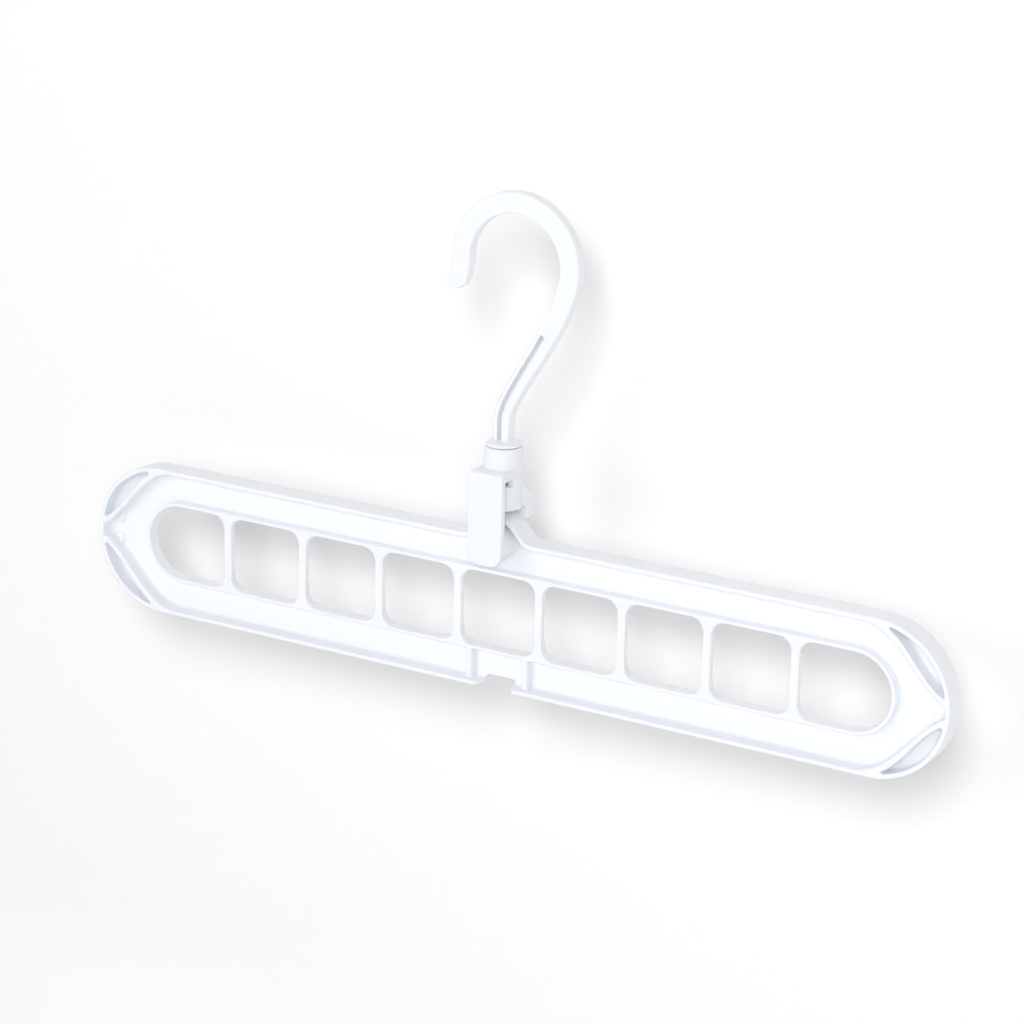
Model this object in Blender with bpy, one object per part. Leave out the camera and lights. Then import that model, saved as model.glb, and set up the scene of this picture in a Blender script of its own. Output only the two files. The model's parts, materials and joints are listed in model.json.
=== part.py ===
"""Nine-window clothes hanger: a long tray-shaped bar, a swivel yoke and a flat hook.

The bar hangs on the yoke by a round hub that sits in a round housing on the bar's top edge.
The hook's shaft turns in the yoke's barrel. All lengths are in metres and +Z is up.
The origin is the point of the hook that rests on the clothes rod, above the swivel axis.
X runs along the bar and the front of the bar faces -Y.
"""

import math

import bmesh
import bpy
from mathutils import Vector

# Bar
BAR_LENGTH = 0.365
BAR_HEIGHT = 0.0592
BAR_DEPTH = 0.0100
WALL = 0.0018
CHANNEL_DEPTH = 0.0063
WEB_THICKNESS = 0.0016
RIM_SETBACK = 0.0024
RIM_WIDTH = 0.0015

# Windows
WINDOW_COUNT = 9
WINDOW_HEIGHT = 0.0296
END_WINDOW_LENGTH = 0.0358
DIVIDER_WIDTH = 0.0033
WINDOW_CORNER = 0.0052
DIVIDER_DEPTH = 0.0026
END_MARGIN = 0.0230

# Ridges at the ends of the bar, in shares of the end radius from the end's centre
RIDGE_OUTER_CURVE = ((0.179, 0.895), (0.420, 0.760), (0.600, 0.370), (0.885, 0.190))
RIDGE_INNER_CURVE = ((-0.101, 0.926), (0.240, 0.880), (0.480, 0.420), (0.872, 0.100))
RIDGE_ROOT = ((0.950, 0.060), (0.940, 0.200))
RIDGE_CROWN = ((0.190, 0.955), (-0.101, 0.965))

# Raised pads between the ridges at each tip, one on each side of a shallow slot
PAD_MARGIN = 0.0081
PAD_RISE = 0.0013
RECESS_MARGIN = 0.0022
RECESS_LENGTH = 0.0072
RECESS_HEIGHT = 0.0050
RECESS_DEPTH = 0.0011

# Notch under the middle window
NOTCH_WIDTH = 0.0196
NOTCH_WAIST = 0.0124
NOTCH_DEPTH = 0.0031
NOTCH_RIB_SPACING = 0.0242
NOTCH_RIB_THICKNESS = 0.0026

# Step down from the flange or the rim to a rib that meets it
RIB_STEP = 0.0002

# Pivot between bar and yoke
PIVOT_HEIGHT = 0.0284
HOUSING_RADIUS = 0.0102
HOUSING_FILLET = 0.0050
HUB_RADIUS = 0.0070
NOSE_RADIUS = 0.0029
NOSE_HEAD_RADIUS = 0.0042
NOSE_HEAD_LENGTH = 0.0013
GAP = 0.0003

# Yoke
YOKE_HALF_WIDTH = 0.00715
PLATE_THICKNESS = 0.0030
PLATE_STAND_OFF = 0.0050
SHOULDER_ABOVE_PIVOT = 0.0283
SHOULDER_THICKNESS = 0.0031
SHOULDER_OVERLAP = 0.0012
REAR_LEDGE_THICKNESS = 0.0012
BARREL_HEIGHT = 0.0077
BARREL_RADIUS = 0.0076
BARREL_TOP_RADIUS = 0.0069
NECK_RADIUS = 0.0073
NECK_GAP = 0.0024
CHAMBER_HEIGHT = 0.0033
CHAMBER_RADIUS = 0.0052
CHAMBER_MOUTH_SETBACK = 0.0036
ARM_GAP = 0.0006
ARM_THICKNESS = 0.0058
ARM_HEIGHT = 0.0102
ARM_ABOVE_PIVOT = 0.0076
ARM_FILLET = 0.0050
ARM_TOP_LAND = 0.0034

# Hook
HOOK_THICKNESS = 0.0054
TIP_BAND = 0.0072
CROWN_BAND = 0.0078
STEM_BAND = 0.0066
HOOK_RADIUS = 0.0224
HOOK_OFFSET = 0.0044
HOOK_EDGE_ROUND = 0.0008
TIP_DROP = 0.0081
TIP_FLARE = 0.0015
TIP_REACH_OUTSIDE = 0.0080
TIP_REACH_INSIDE = 0.0042
CROWN_END = math.radians(12.0)
SWEEP_REACH = 0.0200
STEM_REACH = 0.0100
STEM_STRAIGHT = 0.0073
GROOVE_DEPTH = 0.0034
GROOVE_RIB = 0.0018
GROOVE_WIDTH = 0.0017
GROOVE_BELOW_ROD = 0.0415
COLLAR_RADIUS = 0.0068
COLLAR_HEIGHT = 0.0021
COLLAR_EDGE = 0.0009
SHAFT_RADIUS = 0.0040
SNAP_HEAD_RADIUS = 0.0047
SNAP_HEAD_HEIGHT = 0.0024

# Heights
ROD_TO_PIVOT = 0.1226
ARC_STEP = math.radians(5.0)

# Derived heights and levels
PIVOT_Z = -ROD_TO_PIVOT
BAR_CENTRE_Z = PIVOT_Z - PIVOT_HEIGHT
BAR_FRONT = -BAR_DEPTH / 2
BAR_BACK = BAR_DEPTH / 2
WEB_FRONT = BAR_FRONT + CHANNEL_DEPTH
WEB_BACK = WEB_FRONT + WEB_THICKNESS
RIM_FRONT = BAR_FRONT + RIM_SETBACK
END_RADIUS = BAR_HEIGHT / 2
END_CENTRE_X = BAR_LENGTH / 2 - END_RADIUS
END_WINDOW_EDGE = BAR_LENGTH / 2 - END_MARGIN - END_WINDOW_LENGTH
WINDOW_PITCH = (2 * END_WINDOW_EDGE - DIVIDER_WIDTH) / (WINDOW_COUNT - 2)
SHOULDER_Z = PIVOT_Z + SHOULDER_ABOVE_PIVOT
BARREL_TOP_Z = SHOULDER_Z + BARREL_HEIGHT
CHAMBER_TOP_Z = SHOULDER_Z - SHOULDER_THICKNESS
CHAMBER_FLOOR_Z = CHAMBER_TOP_Z - CHAMBER_HEIGHT
NECK_BOTTOM_Z = PIVOT_Z + HOUSING_RADIUS + NECK_GAP
PLATE_BACK = BAR_FRONT - PLATE_STAND_OFF
PLATE_FRONT = PLATE_BACK - PLATE_THICKNESS
INNER_CROWN_RADIUS = HOOK_RADIUS - CROWN_BAND / 2
HOOK_CENTRE_Z = -math.sqrt(INNER_CROWN_RADIUS ** 2 - HOOK_OFFSET ** 2)
COLLAR_BOTTOM_Z = BARREL_TOP_Z + GAP
COLLAR_TOP_Z = COLLAR_BOTTOM_Z + COLLAR_HEIGHT


def clear_scene():
    """Remove every object that the file opened with."""
    for item in list(bpy.data.objects):
        bpy.data.objects.remove(item, do_unlink=True)


def arc(centre, radius, start, end):
    """Points (x, z) on an arc from angle start to angle end, both ends included."""
    steps = max(2, math.ceil(abs(end - start) / ARC_STEP))
    angles = [start + (end - start) * i / steps for i in range(steps + 1)]
    return [(centre[0] + radius * math.cos(a), centre[1] + radius * math.sin(a)) for a in angles]


def bezier(corners, steps):
    """Points on a cubic curve with four control points, the first point left out."""
    points = []
    for i in range(1, steps + 1):
        t = i / steps
        weights = ((1 - t) ** 3, 3 * t * (1 - t) ** 2, 3 * t * t * (1 - t), t ** 3)
        x = sum(w * c[0] for w, c in zip(weights, corners))
        z = sum(w * c[1] for w, c in zip(weights, corners))
        points.append((x, z))
    return points


def blend(start, end, share):
    """Smooth step from start to end as share goes from 0 to 1."""
    return start + (end - start) * share * share * (3 - 2 * share)


def without_repeats(points, tolerance=1e-6):
    """The same closed outline with neighbouring duplicate points taken out."""
    kept = []
    for point in points:
        if not kept or math.dist(point, kept[-1]) > tolerance:
            kept.append(point)
    if math.dist(kept[0], kept[-1]) <= tolerance:
        kept.pop()
    return kept


def new_object(name, mesh_builder):
    """Object whose mesh is filled by mesh_builder with outward normals."""
    build = bmesh.new()
    mesh_builder(build)
    bmesh.ops.recalc_face_normals(build, faces=build.faces)
    mesh = bpy.data.meshes.new(name)
    build.to_mesh(mesh)
    build.free()
    item = bpy.data.objects.new(name, mesh)
    bpy.context.scene.collection.objects.link(item)
    return item


def extrusion(name, outline, start, end, place):
    """Solid swept from start to end, where place(u, v, depth) turns outline points into space."""
    outline = without_repeats(outline)

    def fill(build):
        near = [build.verts.new(place(u, v, start)) for u, v in outline]
        far = [build.verts.new(place(u, v, end)) for u, v in outline]
        build.faces.new(near)
        build.faces.new(list(reversed(far)))
        count = len(outline)
        for i in range(count):
            j = (i + 1) % count
            build.faces.new((near[j], near[i], far[i], far[j]))

    return new_object(name, fill)


def prism(name, outline, front, back):
    """Solid with the outline (x, z) between the depths front and back along Y."""
    return extrusion(name, outline, front, back, lambda x, z, y: (x, y, z))


def side_prism(name, outline, left, right):
    """Solid with the side outline (y, z) between left and right along X."""
    return extrusion(name, outline, left, right, lambda y, z, x: (x, y, z))


def plan_prism(name, outline, low, high):
    """Solid with the plan outline (x, y) between two heights."""
    return extrusion(name, outline, low, high, lambda x, y, z: (x, y, z))


def box(name, low, high):
    """Rectangular solid between two corners."""
    outline = [(low[0], low[2]), (high[0], low[2]), (high[0], high[2]), (low[0], high[2])]
    return prism(name, outline, low[1], high[1])


def turned(name, profile):
    """Solid of revolution about Z through the origin from (radius, z) pairs, bottom to top."""
    steps = round(2 * math.pi / ARC_STEP)

    def fill(build):
        rings = []
        for radius, z in profile:
            angles = [2 * math.pi * i / steps for i in range(steps)]
            rings.append([build.verts.new((radius * math.cos(a), radius * math.sin(a), z)) for a in angles])
        for lower, upper in zip(rings, rings[1:]):
            for i in range(steps):
                j = (i + 1) % steps
                build.faces.new((lower[i], lower[j], upper[j], upper[i]))
        build.faces.new(list(reversed(rings[0])))
        build.faces.new(rings[-1])

    return new_object(name, fill)


def disc(name, centre, radius, front, back):
    """Round solid with its axis along Y through the point (x, z)."""
    return prism(name, arc(centre, radius, 0.0, 2 * math.pi)[:-1], front, back)


def combine(base, other, operation):
    """Boolean of two solids kept in base; the other solid is used up."""
    other.hide_render = True
    other.display_type = "WIRE"
    modifier = base.modifiers.new(operation.lower(), "BOOLEAN")
    modifier.operation = operation
    modifier.solver = "EXACT"
    modifier.object = other
    bpy.context.view_layer.update()
    solid = base.evaluated_get(bpy.context.evaluated_depsgraph_get())
    mesh = bpy.data.meshes.new_from_object(solid)
    base.modifiers.clear()
    old_mesh = base.data
    base.data = mesh
    mesh.name = base.name
    bpy.data.meshes.remove(old_mesh)
    bpy.data.objects.remove(other, do_unlink=True)


def add(base, other):
    combine(base, other, "UNION")


def cut(base, other):
    combine(base, other, "DIFFERENCE")


def set_origin(item, point):
    """Move the object's origin to a world point without moving its surface."""
    shift = Vector(point)
    item.data.transform(item.matrix_world.Translation(-shift))
    item.location = shift


def shade_smooth(item, angle_degrees=30.0):
    """Smooth shading, kept sharp where faces meet at more than the angle."""
    for face in item.data.polygons:
        face.use_smooth = True
    item.data.set_sharp_from_angle(angle=math.radians(angle_degrees))


def plastic(name, color, roughness):
    """Opaque white polypropylene."""
    material = bpy.data.materials.new(name)
    material.use_nodes = True
    shader = material.node_tree.nodes["Principled BSDF"]
    shader.inputs["Base Color"].default_value = (*color, 1.0)
    shader.inputs["Roughness"].default_value = roughness
    shader.inputs["Metallic"].default_value = 0.0
    material.diffuse_color = (*color, 1.0)
    return material


def give_material(item, material):
    item.data.materials.clear()
    item.data.materials.append(material)


def bar_outline(inset):
    """Outline of the bar with the round housing on top, moved inward by inset."""
    radius = END_RADIUS - inset
    housing = HOUSING_RADIUS - inset
    fillet = HOUSING_FILLET + inset
    top_z = BAR_CENTRE_Z + END_RADIUS
    fillet_z = top_z + HOUSING_FILLET
    reach = HOUSING_RADIUS + HOUSING_FILLET
    fillet_x = math.sqrt(reach ** 2 - (fillet_z - PIVOT_Z) ** 2)
    turn = math.atan2(fillet_z - PIVOT_Z, fillet_x)
    right = arc((END_CENTRE_X, BAR_CENTRE_Z), radius, -math.pi / 2, math.pi / 2)
    right_fillet = arc((fillet_x, fillet_z), fillet, -math.pi / 2, -math.pi + turn)
    crown = arc((0.0, PIVOT_Z), housing, turn, math.pi - turn)
    left_fillet = arc((-fillet_x, fillet_z), fillet, -turn, -math.pi / 2)
    left = arc((-END_CENTRE_X, BAR_CENTRE_Z), radius, math.pi / 2, 3 * math.pi / 2)
    return right + right_fillet + crown + left_fillet + left


def stadium(half_length, radius):
    """Long outline with round ends about the bar's centre."""
    right = arc((half_length - radius, BAR_CENTRE_Z), radius, -math.pi / 2, math.pi / 2)
    left = arc((radius - half_length, BAR_CENTRE_Z), radius, math.pi / 2, 3 * math.pi / 2)
    return right + left


def window_outline(index):
    """Outline of one window; the first and last have a half-round outer end."""
    half_width = (WINDOW_PITCH - DIVIDER_WIDTH) / 2
    half_height = WINDOW_HEIGHT / 2
    middle = (index - (WINDOW_COUNT - 1) / 2) * WINDOW_PITCH
    left = middle - half_width
    right = middle + half_width
    low = BAR_CENTRE_Z - half_height
    high = BAR_CENTRE_Z + half_height
    r = WINDOW_CORNER
    quarter = math.pi / 2
    last = WINDOW_COUNT - 1
    end_x = BAR_LENGTH / 2 - END_MARGIN - half_height
    points = []
    if index == last:
        points += arc((end_x, BAR_CENTRE_Z), half_height, -quarter, quarter)
    else:
        points += arc((right - r, low + r), r, -quarter, 0.0)
        points += arc((right - r, high - r), r, 0.0, quarter)
    if index == 0:
        points += arc((-end_x, BAR_CENTRE_Z), half_height, quarter, 3 * quarter)
    else:
        points += arc((left + r, high - r), r, quarter, 2 * quarter)
        points += arc((left + r, low + r), r, 2 * quarter, 3 * quarter)
    return points


def ridge_outline(side_x, side_z):
    """Outline of one curved ridge, from the flange near the windows down to the bar's tip."""
    outer = [RIDGE_OUTER_CURVE[0]] + bezier(RIDGE_OUTER_CURVE, 12)
    inner = [RIDGE_INNER_CURVE[0]] + bezier(RIDGE_INNER_CURVE, 14)
    shares = inner + list(RIDGE_ROOT) + outer[::-1] + list(RIDGE_CROWN)
    points = []
    for share_x, share_z in shares:
        x = END_CENTRE_X + share_x * END_RADIUS
        points.append((side_x * x, BAR_CENTRE_Z + side_z * share_z * END_RADIUS))
    return points


def tip_pad_outline(side_x):
    """Outline of the raised pad between the two ridges at one tip."""
    start = BAR_LENGTH / 2 - PAD_MARGIN
    curve = [(END_CENTRE_X + u * END_RADIUS, v * END_RADIUS) for u, v in bezier(RIDGE_INNER_CURVE, 14)]
    root = (END_CENTRE_X + RIDGE_ROOT[0][0] * END_RADIUS, RIDGE_ROOT[0][1] * END_RADIUS)
    before = [point for point in curve if point[0] <= start][-1]
    upper = [point for point in curve if point[0] > start] + [root]
    share = (start - before[0]) / (upper[0][0] - before[0])
    upper.insert(0, (start, before[1] + (upper[0][1] - before[1]) * share))
    upper = [(x, z + WALL / 2) for x, z in upper]
    outline = upper + [(x, -z) for x, z in reversed(upper)]
    return [(side_x * x, BAR_CENTRE_Z + z) for x, z in outline]


def band_outline(line, widths):
    """Closed outline of a band that follows a line, with a width at each point."""
    left = []
    right = []
    for i, point in enumerate(line):
        before = line[max(i - 1, 0)]
        after = line[min(i + 1, len(line) - 1)]
        dx = after[0] - before[0]
        dz = after[1] - before[1]
        size = math.hypot(dx, dz)
        nx = -dz / size * widths[i] / 2
        nz = dx / size * widths[i] / 2
        left.append((point[0] + nx, point[1] + nz))
        right.append((point[0] - nx, point[1] - nz))
    return left, right


def add_bar_ends(bar, joint):
    """Two curved ridges at each tip and the raised pad between them, parted by its slot."""
    pad_front = WEB_FRONT - PAD_RISE
    for side_x in (-1, 1):
        add(bar, prism("pad", tip_pad_outline(side_x), pad_front, WEB_FRONT + joint))
        for side_z in (-1, 1):
            ridge = ridge_outline(side_x, side_z)
            add(bar, prism("ridge", ridge, BAR_FRONT + RIB_STEP, WEB_FRONT + joint))
        far = BAR_LENGTH / 2 - RECESS_MARGIN
        ends = sorted((side_x * far, side_x * (far - RECESS_LENGTH)))
        low = (ends[0], BAR_FRONT - RIM_SETBACK, BAR_CENTRE_Z - RECESS_HEIGHT / 2)
        high = (ends[1], pad_front + RECESS_DEPTH, BAR_CENTRE_Z + RECESS_HEIGHT / 2)
        cut(bar, box("recess", low, high))


def notch_plan():
    """Plan outline (x, y) of the gap in the bottom flange, narrowest at its middle depth."""
    steps = 12
    half = NOTCH_WIDTH / 2
    bulge = (NOTCH_WIDTH - NOTCH_WAIST) / 2
    right = [(half, BAR_FRONT - BAR_DEPTH)]
    for i in range(steps + 1):
        turn = math.pi * i / steps
        right.append((half - bulge * math.sin(turn), BAR_FRONT * math.cos(turn)))
    right.append((half, BAR_BACK + BAR_DEPTH))
    return right + [(-x, y) for x, y in reversed(right)]


def add_notch(bar, joint):
    """Notch in the bottom flange and the web, and a rib on each side of it."""
    bottom = BAR_CENTRE_Z - END_RADIUS
    for side_x in (-1, 1):
        middle = side_x * NOTCH_RIB_SPACING / 2
        low = (middle - NOTCH_RIB_THICKNESS / 2, RIM_FRONT + RIB_STEP, bottom + WALL / 2)
        top = BAR_CENTRE_Z - WINDOW_HEIGHT / 2 - RIM_WIDTH / 2
        high = (middle + NOTCH_RIB_THICKNESS / 2, WEB_FRONT + joint, top)
        add(bar, box("notch_rib", low, high))
    cut(bar, plan_prism("flange_gap", notch_plan(), bottom - WALL, bottom + WALL + RIB_STEP))
    half = NOTCH_WAIST / 2
    low = (-half, BAR_FRONT - BAR_DEPTH, bottom - WALL)
    high = (half, BAR_BACK + BAR_DEPTH, bottom + NOTCH_DEPTH)
    cut(bar, box("notch", low, high))


def cut_windows(bar):
    """Nine windows; the bars between them are shallow except at their rounded feet."""
    for index in range(WINDOW_COUNT):
        outline = window_outline(index)
        cut(bar, prism("window", outline, BAR_FRONT - BAR_DEPTH, BAR_BACK + BAR_DEPTH))
    reach = WINDOW_HEIGHT / 2 - WINDOW_CORNER - GAP
    for index in range(WINDOW_COUNT - 1):
        middle = (index + 1 - WINDOW_COUNT / 2) * WINDOW_PITCH
        low = (middle - DIVIDER_WIDTH, RIM_FRONT + DIVIDER_DEPTH, BAR_CENTRE_Z - reach)
        high = (middle + DIVIDER_WIDTH, BAR_BACK + BAR_DEPTH, BAR_CENTRE_Z + reach)
        cut(bar, box("divider_relief", low, high))


def make_bar():
    """Tray-shaped bar with nine windows, end ridges, a bottom notch and the pivot housing."""
    joint = WEB_THICKNESS / 4
    bar = prism("bar", bar_outline(0.0), BAR_FRONT, BAR_BACK)
    cut(bar, prism("front_channel", bar_outline(WALL), BAR_FRONT - BAR_DEPTH, WEB_FRONT))
    cut(bar, prism("rear_recess", bar_outline(WALL), WEB_BACK, BAR_BACK + BAR_DEPTH))
    rim = stadium(BAR_LENGTH / 2 - END_MARGIN + RIM_WIDTH, WINDOW_HEIGHT / 2 + RIM_WIDTH)
    add(bar, prism("rim", rim, RIM_FRONT, WEB_BACK - joint))
    add_bar_ends(bar, joint)
    add_notch(bar, joint)
    cut_windows(bar)
    nose_hole = disc("nose_hole", (0.0, PIVOT_Z), NOSE_RADIUS + GAP, BAR_FRONT, BAR_BACK)
    cut(bar, nose_hole)
    set_origin(bar, (0.0, 0.0, PIVOT_Z))
    return bar


def rear_arm():
    """Block behind the bar's housing that curves up into the neck."""
    front = BAR_BACK + ARM_GAP
    back = front + ARM_THICKNESS
    low = PIVOT_Z + ARM_ABOVE_PIVOT
    high = low + ARM_HEIGHT
    fillet_y = back - ARM_TOP_LAND
    outline = [(front, low), (back, low), (back, high)]
    outline += arc((fillet_y, high + ARM_FILLET), ARM_FILLET, -math.pi / 2, -math.pi)
    outline += [(fillet_y - ARM_FILLET, NECK_BOTTOM_Z), (front, NECK_BOTTOM_Z)]
    return side_prism("rear_arm", outline, -YOKE_HALF_WIDTH, YOKE_HALF_WIDTH)


def make_yoke():
    """Barrel on a shoulder, with a long front plate and its hub, and a short rear arm."""
    profile = [
        (NECK_RADIUS, NECK_BOTTOM_Z),
        (NECK_RADIUS, CHAMBER_TOP_Z),
        (BARREL_RADIUS, SHOULDER_Z),
        (BARREL_TOP_RADIUS, BARREL_TOP_Z),
    ]
    yoke = turned("yoke", profile)
    add(yoke, rear_arm())

    low = (-YOKE_HALF_WIDTH, PLATE_FRONT, CHAMBER_TOP_Z)
    high = (YOKE_HALF_WIDTH, SHOULDER_OVERLAP, SHOULDER_Z)
    add(yoke, box("shoulder", low, high))
    low = (-YOKE_HALF_WIDTH, 0.0, SHOULDER_Z - REAR_LEDGE_THICKNESS)
    high = (YOKE_HALF_WIDTH, BAR_BACK, SHOULDER_Z)
    add(yoke, box("rear_ledge", low, high))

    pivot = (0.0, PIVOT_Z)
    lower_end = arc(pivot, YOKE_HALF_WIDTH, math.pi, 2 * math.pi)
    plate = lower_end + [(YOKE_HALF_WIDTH, SHOULDER_Z), (-YOKE_HALF_WIDTH, SHOULDER_Z)]
    add(yoke, prism("front_plate", plate, PLATE_FRONT, PLATE_BACK))

    hub_back = WEB_FRONT - GAP
    head_front = WEB_BACK + GAP
    add(yoke, disc("hub", pivot, HUB_RADIUS, PLATE_BACK - PLATE_THICKNESS / 2, hub_back))
    add(yoke, disc("nose", pivot, NOSE_RADIUS, hub_back - GAP, head_front + GAP))
    add(yoke, disc("nose_head", pivot, NOSE_HEAD_RADIUS, head_front, head_front + NOSE_HEAD_LENGTH))

    bore_radius = SHAFT_RADIUS + GAP
    bore = [
        (CHAMBER_RADIUS, CHAMBER_FLOOR_Z),
        (CHAMBER_RADIUS, CHAMBER_TOP_Z),
        (bore_radius, CHAMBER_TOP_Z),
        (bore_radius, COLLAR_TOP_Z),
    ]
    cut(yoke, turned("bore", bore))
    low = (-BARREL_RADIUS * 2, PLATE_BACK + GAP, CHAMBER_FLOOR_Z)
    high = (BARREL_RADIUS * 2, -CHAMBER_MOUTH_SETBACK, CHAMBER_TOP_Z)
    cut(yoke, box("chamber_mouth", low, high))
    set_origin(yoke, (0.0, 0.0, BARREL_TOP_Z))
    return yoke


def hook_line():
    """Centre line (x, z) of the hook from tip to stem, with the band's width at each point."""
    centre = (HOOK_OFFSET, HOOK_CENTRE_Z)
    arm_x = centre[0] - HOOK_RADIUS
    points = []
    widths = []
    steps = 5
    for i in range(steps):
        t = i / steps
        points.append((arm_x - TIP_FLARE * (1 - t) ** 2, centre[1] - TIP_DROP * (1 - t)))
        widths.append(TIP_BAND)
    crown = arc(centre, HOOK_RADIUS, math.pi, -CROWN_END)
    points += crown
    last = len(crown) - 1
    widths += [blend(TIP_BAND, CROWN_BAND, min(1.0, 2 * i / last)) for i in range(len(crown))]

    start = crown[-1]
    stem_top = COLLAR_TOP_Z + STEM_STRAIGHT
    corners = [
        start,
        (start[0] - SWEEP_REACH * math.sin(CROWN_END), start[1] - SWEEP_REACH * math.cos(CROWN_END)),
        (0.0, stem_top + STEM_REACH),
        (0.0, stem_top),
    ]
    steps = 22
    points += bezier(corners, steps)
    widths += [blend(CROWN_BAND, STEM_BAND, i / steps) for i in range(1, steps + 1)]
    points.append((0.0, COLLAR_TOP_Z - COLLAR_HEIGHT / 2))
    widths.append(STEM_BAND)
    return points, widths


def hook_outline():
    """Closed outline (x, z) of the flat band, with its skewed round tip."""
    line, widths = hook_line()
    outside, inside = band_outline(line, widths)
    dx = line[0][0] - line[1][0]
    dz = line[0][1] - line[1][1]
    size = math.hypot(dx, dz)
    corners = [
        outside[0],
        (outside[0][0] + dx / size * TIP_REACH_OUTSIDE, outside[0][1] + dz / size * TIP_REACH_OUTSIDE),
        (inside[0][0] + dx / size * TIP_REACH_INSIDE, inside[0][1] + dz / size * TIP_REACH_INSIDE),
        inside[0],
    ]
    return outside[::-1] + bezier(corners, 12)[:-1] + inside


def hook_groove():
    """Groove down the front of the stem, beside its -X edge, as a solid to cut away."""
    line, widths = hook_line()
    first = next(i for i, point in enumerate(line) if i > len(line) / 2 and point[1] < -GROOVE_BELOW_ROD)
    path = line[first:-1] + [(0.0, COLLAR_TOP_Z)]
    outer_widths = [width - 2 * GROOVE_RIB for width in widths[first:]]
    inner_widths = [width - 2 * GROOVE_WIDTH for width in outer_widths]
    outer = band_outline(path, outer_widths)[1]
    inner = band_outline(path, inner_widths)[1]
    floor = -HOOK_THICKNESS / 2 + GROOVE_DEPTH
    return prism("groove", outer + inner[::-1], -HOOK_THICKNESS, floor)


def make_hook():
    """Flat hook with a grooved stem, a collar and the snap shaft that turns in the barrel."""
    half = HOOK_THICKNESS / 2
    hook = prism("hook", hook_outline(), -half, half)
    bevel = hook.modifiers.new("edge_round", "BEVEL")
    bevel.width = HOOK_EDGE_ROUND
    bevel.segments = 2
    bevel.limit_method = "ANGLE"
    bevel.angle_limit = math.radians(60.0)
    cut(hook, hook_groove())

    head_top_z = CHAMBER_TOP_Z - GAP
    head_bottom_z = head_top_z - SNAP_HEAD_HEIGHT
    shaft = [
        (SHAFT_RADIUS, head_bottom_z),
        (SNAP_HEAD_RADIUS, head_bottom_z + SNAP_HEAD_HEIGHT / 2),
        (SNAP_HEAD_RADIUS, head_top_z),
        (SHAFT_RADIUS, head_top_z),
        (SHAFT_RADIUS, COLLAR_BOTTOM_Z),
        (COLLAR_RADIUS, COLLAR_BOTTOM_Z),
        (COLLAR_RADIUS, COLLAR_TOP_Z - COLLAR_EDGE),
        (COLLAR_RADIUS - COLLAR_EDGE, COLLAR_TOP_Z - COLLAR_EDGE / 4),
        (COLLAR_RADIUS - 3 * COLLAR_EDGE, COLLAR_TOP_Z),
    ]
    add(hook, turned("shaft", shaft))
    return hook


def main():
    clear_scene()
    bar = make_bar()
    yoke = make_yoke()
    hook = make_hook()
    give_material(bar, plastic("bar_white", (0.86, 0.87, 0.89), 0.32))
    give_material(yoke, plastic("yoke_white", (0.86, 0.87, 0.89), 0.34))
    give_material(hook, plastic("hook_white", (0.86, 0.87, 0.89), 0.30))
    for item in (bar, yoke, hook):
        shade_smooth(item)


main()
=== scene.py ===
# %% [markdown]
# # A plastic clothes hanger with nine windows
#
# The hanger is three white mouldings that snap together: a long tray-shaped bar with nine windows,
# a small yoke that the bar tilts on, and a flat hook that turns in the top of the yoke. Each one
# comes out of a steel mould, so every corner of it is softly rounded, and the light runs along
# those roundings. That is what this scene adds to the sharp solids of the frame.

# %% Load the frame
import json
import math

import bpy
import numpy as np
from mathutils import Matrix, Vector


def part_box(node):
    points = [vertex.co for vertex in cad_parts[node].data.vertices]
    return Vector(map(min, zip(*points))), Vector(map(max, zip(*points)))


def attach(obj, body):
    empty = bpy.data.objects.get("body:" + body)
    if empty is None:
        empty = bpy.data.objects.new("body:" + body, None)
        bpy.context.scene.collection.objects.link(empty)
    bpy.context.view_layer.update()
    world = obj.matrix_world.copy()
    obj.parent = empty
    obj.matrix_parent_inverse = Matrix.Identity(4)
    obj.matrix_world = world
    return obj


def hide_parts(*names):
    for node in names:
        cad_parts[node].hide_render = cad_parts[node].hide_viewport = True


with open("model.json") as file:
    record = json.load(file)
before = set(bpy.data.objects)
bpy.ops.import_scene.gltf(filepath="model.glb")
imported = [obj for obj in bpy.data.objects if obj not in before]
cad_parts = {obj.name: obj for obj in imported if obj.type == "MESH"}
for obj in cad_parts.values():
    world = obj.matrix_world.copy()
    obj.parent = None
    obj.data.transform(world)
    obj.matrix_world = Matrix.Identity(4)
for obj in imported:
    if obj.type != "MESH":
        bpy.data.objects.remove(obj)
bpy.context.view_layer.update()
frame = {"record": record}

# %% [markdown]
# ## One way to make all three mouldings
#
# A moulding could be built face by face and then bevelled, but where a rib meets a rim and a
# flange, a bevel has to guess. Here each moulding is a distance field instead: a function that
# says how far any point is from the plastic, below zero inside it. Two shapes join by taking the
# smaller distance, and a small radius in that step leaves a real fillet along the whole joint.

# %% Joining and cutting with a radius
def rounded_join(a, b, radius):
    """Union of two fields: the smaller one, and near both the radius less the length of the two
    shortfalls from it, so that a quarter circle fills the corner between them."""
    gap = np.hypot(np.maximum(radius - a, 0.0), np.maximum(radius - b, 0.0))
    return np.maximum(radius, np.minimum(a, b)) - gap


def rounded_overlap(a, b, radius):
    """What two fields share: the larger one, and near both the length of their two rises above
    minus the radius, less the radius, so that a quarter circle takes the corner off."""
    gap = np.hypot(np.maximum(radius + a, 0.0), np.maximum(radius + b, 0.0))
    return np.minimum(-radius, np.maximum(a, b)) + gap


def rounded_cut(a, b, radius):
    """The first field without the second: its rounded overlap with the second one's negative."""
    return rounded_overlap(a, -b, radius)


# %% Plain outlines as distances
def circle(u, v, radius):
    """Distance to a circle about the origin: length of (u, v) less the radius."""
    return np.hypot(u, v) - radius


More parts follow.
